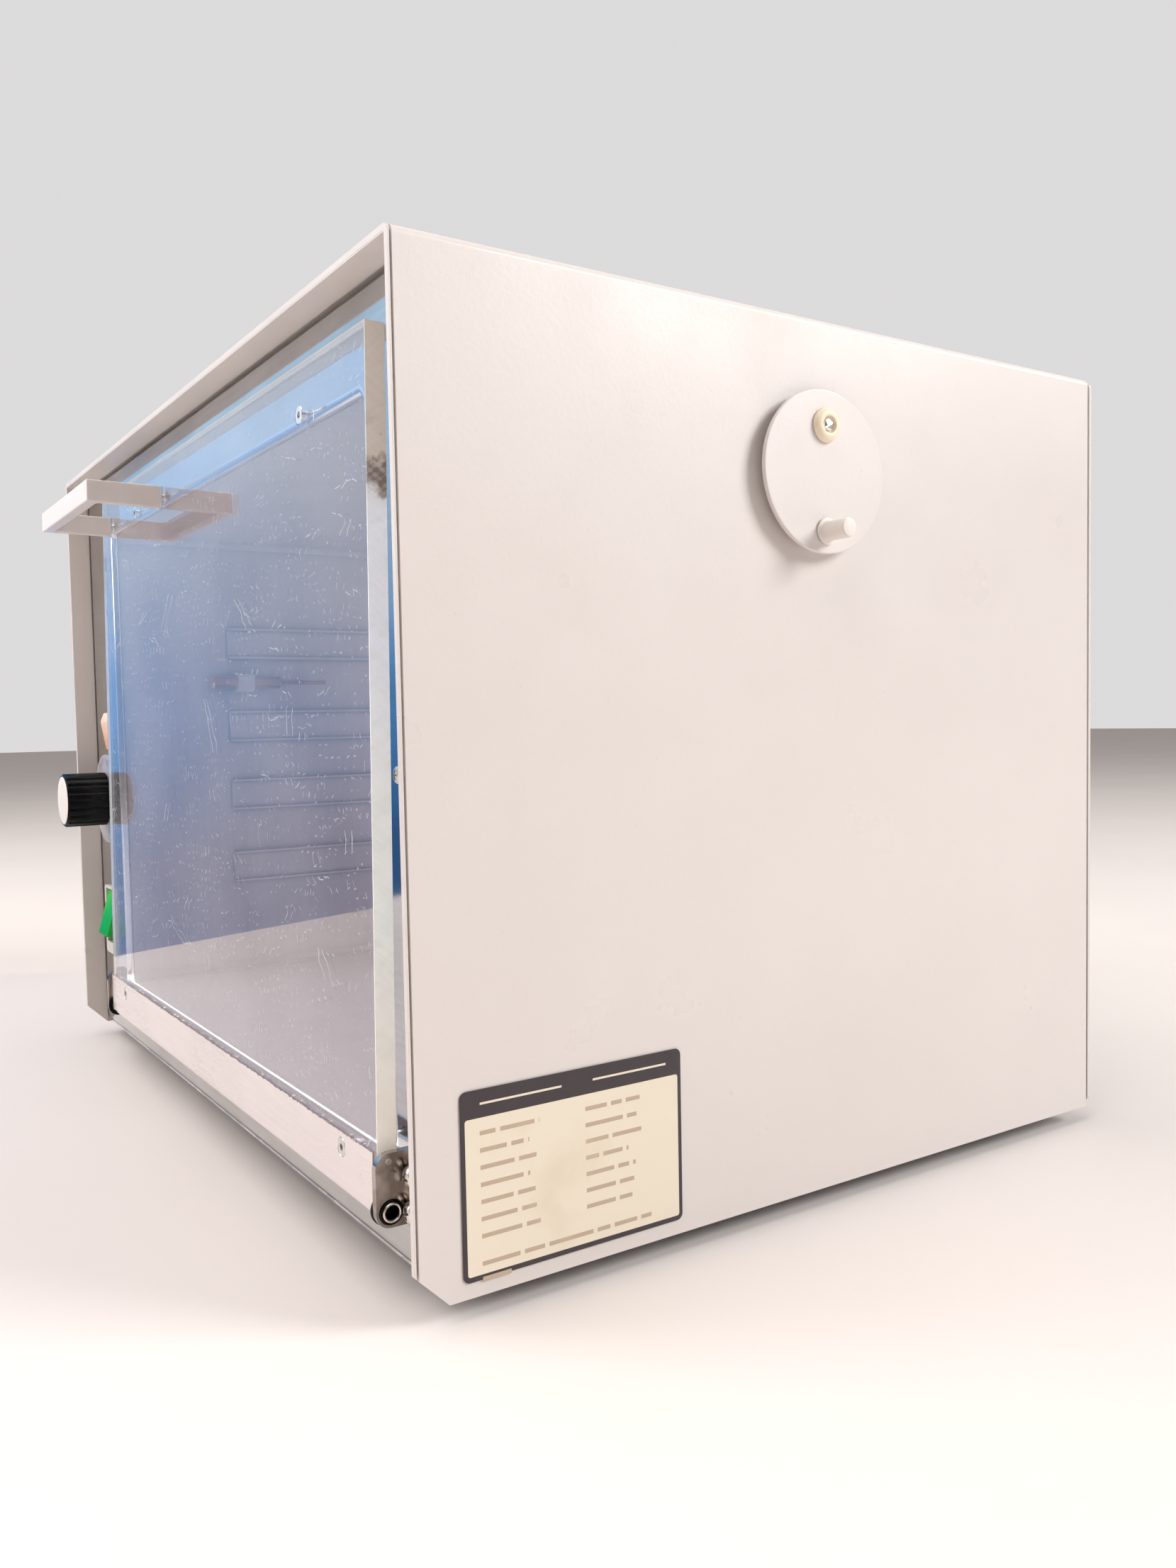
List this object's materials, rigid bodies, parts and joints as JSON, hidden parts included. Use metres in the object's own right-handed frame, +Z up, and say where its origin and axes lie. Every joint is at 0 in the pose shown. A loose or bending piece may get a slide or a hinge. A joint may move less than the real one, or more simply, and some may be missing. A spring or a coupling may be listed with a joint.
{
  "type": "laboratory incubator",
  "caption": "Bench-top laboratory incubator with a clear drop-down door, thermostat knob, pilot lamp, rocker switch and a covered side probe port.",
  "frame": {"origin": "bottom centre of the whole object's box, on the surface it stands on", "axes": "+X to the right seen from the front, along the cabinet's width; +Y from the door to the back; +Z up"},
  "size_m": [0.4062, 0.3242, 0.286],
  "materials": {
    "casing_paint": "semi-gloss warm off-white stove enamel",
    "stainless": "bright, near mirror",
    "galvanised": "zinc coated sheet",
    "rubber": "matt black",
    "label": "dark printed frame round a blank cream field",
    "black_plastic": "satin black",
    "hinge_plastic": "satin black",
    "glass_wool": "yellow glass wool",
    "silicone": "red silicone",
    "copper": "bright drawn copper",
    "zinc": "bright zinc plated",
    "door_screws": "stainless",
    "nickel": "nickel plated, lightly tarnished",
    "clear_acrylic": "clear, finely scratched, matt sawn edges",
    "scale_acrylic": "clear",
    "aluminium": "satin, mill finish",
    "ivory_plastic": "satin warm white",
    "port_plastic": "satin ivory",
    "amber_lens": "translucent amber",
    "switch_grey": "satin light grey",
    "switch_green": "glossy translucent green"
  },
  "bodies": {
    "cabinet": {"base_pan": "galvanised", "bracket_screw_left_lower": "zinc", "bracket_screw_left_upper": "zinc", "bracket_screw_right_lower": "zinc", "bracket_screw_right_upper": "zinc", "cable_gland": "black_plastic", "chamber_liner": "stainless", "foot_front_left": "rubber", "foot_front_right": "rubber", "foot_rear_left": "rubber", "foot_rear_right": "rubber", "frame_screw": "zinc", "front_bezel": "casing_paint", "front_frame": "stainless", "heater_mat": "silicone", "hinge_bracket_left": "nickel", "hinge_bracket_right": "nickel", "hinge_bush_left": "hinge_plastic", "hinge_bush_right": "hinge_plastic", "hood_shell": "casing_paint", "insulation": "glass_wool", "pilot_lamp_body": "ivory_plastic", "pilot_lamp_lens": "amber_lens", "port_pivot_screw": "zinc", "port_pivot_spacer": "port_plastic", "port_pivot_washer": "port_plastic", "port_tube": "port_plastic", "rating_plate": "label", "rear_panel": "casing_paint", "sensor_bulb": "copper", "sensor_clip": "stainless", "shelf_rails_left": "stainless", "shelf_rails_right": "stainless", "switch_housing": "switch_grey", "thermostat_body": "black_plastic", "thermostat_nut": "zinc"},
    "door": {"door_pane": "clear_acrylic", "door_bottom_plate": "aluminium", "door_hinge_rail": "aluminium", "door_handle": "ivory_plastic", "plate_screw_left": "door_screws", "plate_screw_right": "door_screws", "pane_screw_left": "door_screws", "pane_screw_right": "door_screws", "handle_screw_left": "door_screws", "handle_screw_right": "door_screws", "hinge_pin_left": "nickel", "hinge_pin_right": "nickel", "hinge_washer_left": "hinge_plastic", "hinge_washer_right": "hinge_plastic"},
    "thermostat_dial": {"control_knob": "black_plastic", "knob_cap": "ivory_plastic", "scale_disc": "scale_acrylic", "thermostat_shaft": "zinc"},
    "power_rocker": {"switch_rocker": "switch_green"},
    "port_flap": {"port_cover": "casing_paint", "port_peg": "ivory_plastic"}
  },
  "joints": [
    {"name": "door_hinge", "type": "hinge", "parent": "cabinet", "child": "door", "pos_m": [0.01115, -0.1339, 0.0266], "axis": [1, 0, 0], "range_deg": [0, 89]},
    {"name": "thermostat_turn", "type": "hinge", "parent": "cabinet", "child": "thermostat_dial", "pos_m": [-0.17235, -0.136, 0.1255], "axis": [0, 1, 0], "range_deg": [0, 270]},
    {"name": "power_rock", "type": "hinge", "parent": "cabinet", "child": "power_rocker", "pos_m": [-0.17235, -0.1245, 0.066], "axis": [1, 0, 0], "range_deg": [0, 29.4]},
    {"name": "port_swing", "type": "hinge", "parent": "cabinet", "child": "port_flap", "pos_m": [0.19215, 0.0096, 0.2513], "axis": [1, 0, 0], "continuous": true}
  ]
}
